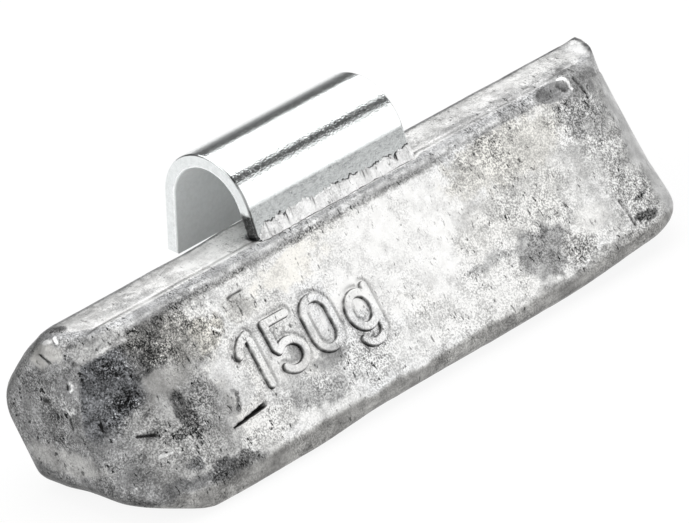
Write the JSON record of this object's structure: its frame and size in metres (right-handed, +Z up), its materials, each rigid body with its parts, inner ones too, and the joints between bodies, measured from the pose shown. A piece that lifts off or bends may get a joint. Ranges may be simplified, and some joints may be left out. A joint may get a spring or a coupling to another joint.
{
  "type": "wheel balance weight",
  "caption": "Clip-on wheel balance weight: a cast lead bar with a leaning front face, and a bent spring steel clip cast into its top that hooks over a wheel rim's lip.",
  "frame": {"origin": "on the flat base, below the line where the clip's front comes out of the bar's top, at the middle of the bar's length", "axes": "+X along the bar, +Y back towards the wheel rim, +Z up from the base to the clip"},
  "size_m": [0.0674, 0.0211, 0.0215],
  "materials": {
    "lead": "cast lead, bright where it is bare, dull grey and speckled where it has tarnished",
    "zinc_plated_steel": "bright zinc plate on rolled spring steel"
  },
  "bodies": {
    "root": {"lead_body": "lead", "spring_clip": "zinc_plated_steel"}
  },
  "joints": []
}
